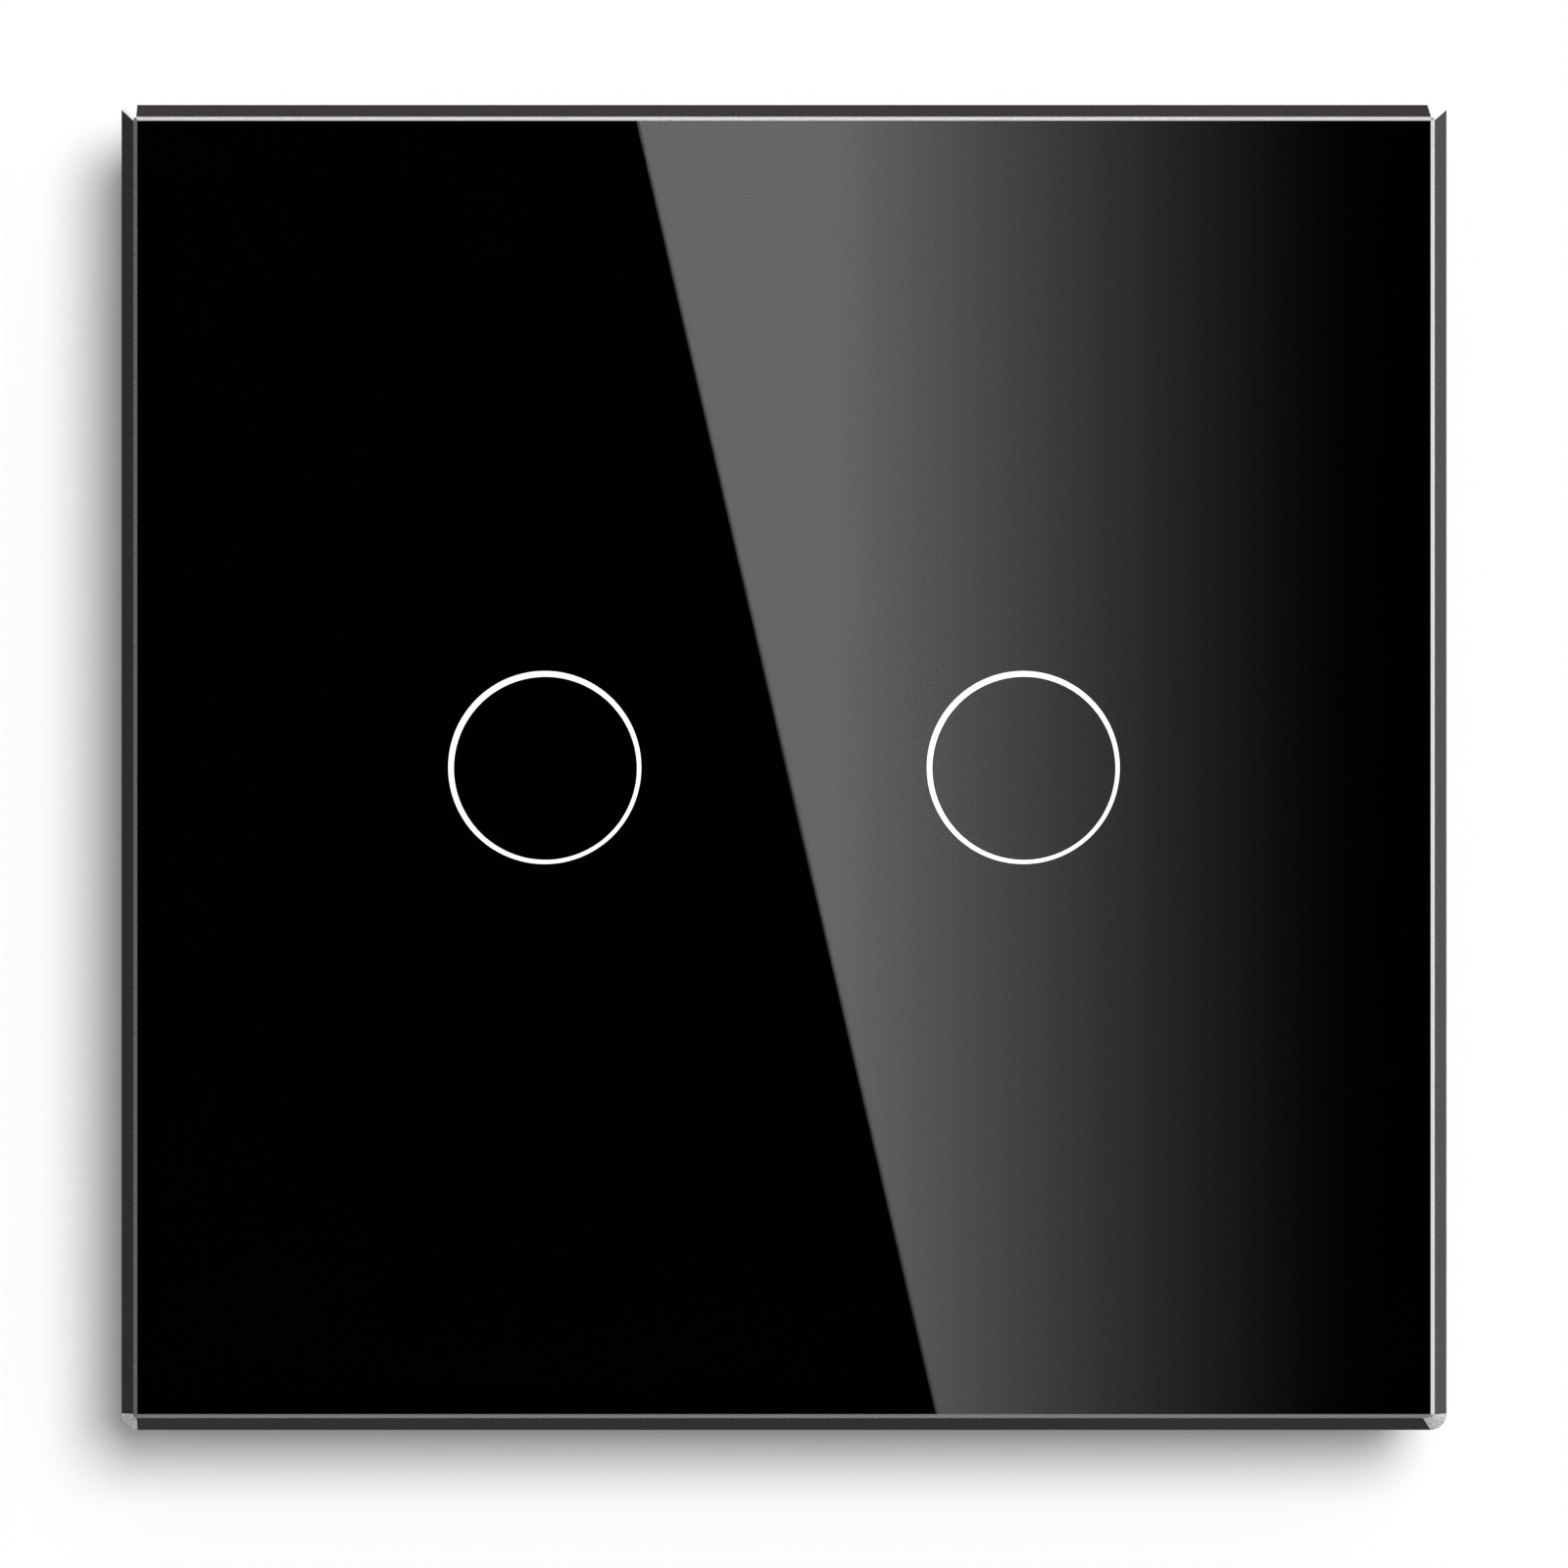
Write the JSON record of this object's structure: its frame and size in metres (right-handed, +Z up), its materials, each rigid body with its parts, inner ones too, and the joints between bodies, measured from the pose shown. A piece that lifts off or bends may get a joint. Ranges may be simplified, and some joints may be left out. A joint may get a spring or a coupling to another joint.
{
  "type": "touch light switch",
  "caption": "Flush wall switch with a square black glass front, ringed touch spots, snap-off panel frame, steel bracket, and relays and screw terminals in a rear box.",
  "frame": {"origin": "middle of the mounting bracket's rear face, in the plane of the wall", "axes": "+X to the right and +Z up as seen from in front of the switch, +Y into the wall; the glass faces -Y"},
  "size_m": [0.08, 0.037, 0.08],
  "materials": {
    "glass": "clear float glass, polished, bevel ground",
    "black_ink": "black coat printed on the back of the glass",
    "white_ink": "translucent white ink",
    "tape": "white foam tape",
    "black_plastic": "fine satin moulding",
    "white_plastic": "fine satin moulding",
    "grey_plastic": "satin moulding",
    "clear_plastic": "clear moulding",
    "steel": "zinc-plated sheet",
    "screw_steel": "nickel-plated",
    "green_board": "green solder mask",
    "chip": "moulded epoxy with tinned leads",
    "relay_blue": "moulded polyester",
    "iron": "nickel-plated soft iron",
    "copper": "enamelled copper wire",
    "brass": "bare brass",
    "film_box": "yellow moulded box",
    "can": "sleeved aluminium can",
    "disc_blue": "epoxy dip",
    "resistor": "cement coat",
    "terminal_green": "moulded polyamide"
  },
  "bodies": {
    "base": {"mounting_bracket": "steel", "module_cover": "white_plastic", "light_guide_left": "clear_plastic", "light_guide_right": "clear_plastic", "touch_board": "green_board", "touch_spring_left": "iron", "touch_spring_right": "iron", "indicator_led_left": "white_plastic", "indicator_led_right": "white_plastic", "touch_controller": "chip", "board_socket": "black_plastic", "touch_board_screws": "screw_steel", "rear_housing": "grey_plastic", "housing_screws": "screw_steel", "power_board": "green_board", "power_board_screws": "screw_steel", "pin_header": "black_plastic", "film_capacitor": "film_box", "electrolytic_capacitor": "can", "varistor": "disc_blue", "fuse_resistor": "resistor", "bridge_rectifier": "chip", "terminal_block": "terminal_green", "terminal_busbars": "brass", "relay_case_left": "relay_blue", "relay_base_left": "relay_blue", "relay_bobbin_left": "white_plastic", "relay_winding_left": "copper", "relay_yoke_left": "iron", "relay_fixed_contact_left": "brass", "relay_case_right": "relay_blue", "relay_base_right": "relay_blue", "relay_bobbin_right": "white_plastic", "relay_winding_right": "copper", "relay_yoke_right": "iron", "relay_fixed_contact_right": "brass"},
    "glass_panel_assembly": {"glass_panel": "glass", "black_backing": "black_ink", "touch_ring_left": "white_ink", "touch_ring_right": "white_ink", "adhesive_frame": "tape", "panel_frame": "black_plastic"},
    "relay_armature_left": {"relay_armature_left": "iron", "relay_leaf_left": "brass"},
    "relay_armature_right": {"relay_armature_right": "iron", "relay_leaf_right": "brass"},
    "terminal_screw_1": {"terminal_screw_1": "screw_steel"},
    "terminal_cage_1": {"terminal_cage_1": "iron"},
    "terminal_screw_2": {"terminal_screw_2": "screw_steel"},
    "terminal_cage_2": {"terminal_cage_2": "iron"},
    "terminal_screw_3": {"terminal_screw_3": "screw_steel"},
    "terminal_cage_3": {"terminal_cage_3": "iron"},
    "terminal_screw_4": {"terminal_screw_4": "screw_steel"},
    "terminal_cage_4": {"terminal_cage_4": "iron"}
  },
  "joints": [
    {"name": "glass_panel_pull", "type": "slide", "parent": "base", "child": "glass_panel_assembly", "axis": [0, -1, 0], "range_m": [0, 0.015]},
    {"name": "relay_armature_left_pivot", "type": "hinge", "parent": "base", "child": "relay_armature_left", "pos_m": [-0.00915, 0.0212, -0.0043], "axis": [1, 0, 0], "range_deg": [0, 3], "stiffness_Nm_per_rad": 0.0003, "springref_deg": -5.73},
    {"name": "relay_armature_right_pivot", "type": "hinge", "parent": "base", "child": "relay_armature_right", "pos_m": [0.00915, 0.0212, -0.0043], "axis": [1, 0, 0], "range_deg": [0, 3], "stiffness_Nm_per_rad": 0.0003, "springref_deg": -5.73},
    {"name": "terminal_cage_1_rise", "type": "slide", "parent": "base", "child": "terminal_cage_1", "axis": [0, 1, 0], "range_m": [0, 0.0024]},
    {"name": "terminal_screw_1_turn", "type": "hinge", "parent": "base", "child": "terminal_screw_1", "pos_m": [-0.0099, 0.0224, -0.01625], "axis": [0, -1, 0], "range_deg": [0, 1740]},
    {"name": "terminal_cage_2_rise", "type": "slide", "parent": "base", "child": "terminal_cage_2", "axis": [0, 1, 0], "range_m": [0, 0.0024]},
    {"name": "terminal_screw_2_turn", "type": "hinge", "parent": "base", "child": "terminal_screw_2", "pos_m": [-0.0033, 0.0224, -0.01625], "axis": [0, -1, 0], "range_deg": [0, 1740]},
    {"name": "terminal_cage_3_rise", "type": "slide", "parent": "base", "child": "terminal_cage_3", "axis": [0, 1, 0], "range_m": [0, 0.0024]},
    {"name": "terminal_screw_3_turn", "type": "hinge", "parent": "base", "child": "terminal_screw_3", "pos_m": [0.0033, 0.0224, -0.01625], "axis": [0, -1, 0], "range_deg": [0, 1740]},
    {"name": "terminal_cage_4_rise", "type": "slide", "parent": "base", "child": "terminal_cage_4", "axis": [0, 1, 0], "range_m": [0, 0.0024]},
    {"name": "terminal_screw_4_turn", "type": "hinge", "parent": "base", "child": "terminal_screw_4", "pos_m": [0.0099, 0.0224, -0.01625], "axis": [0, -1, 0], "range_deg": [0, 1740]}
  ],
  "couplings": [
    {"joint": "terminal_screw_1_turn", "follows": "terminal_cage_1_rise", "rad_per_m": 12566},
    {"joint": "terminal_screw_2_turn", "follows": "terminal_cage_2_rise", "rad_per_m": 12566},
    {"joint": "terminal_screw_3_turn", "follows": "terminal_cage_3_rise", "rad_per_m": 12566},
    {"joint": "terminal_screw_4_turn", "follows": "terminal_cage_4_rise", "rad_per_m": 12566}
  ]
}
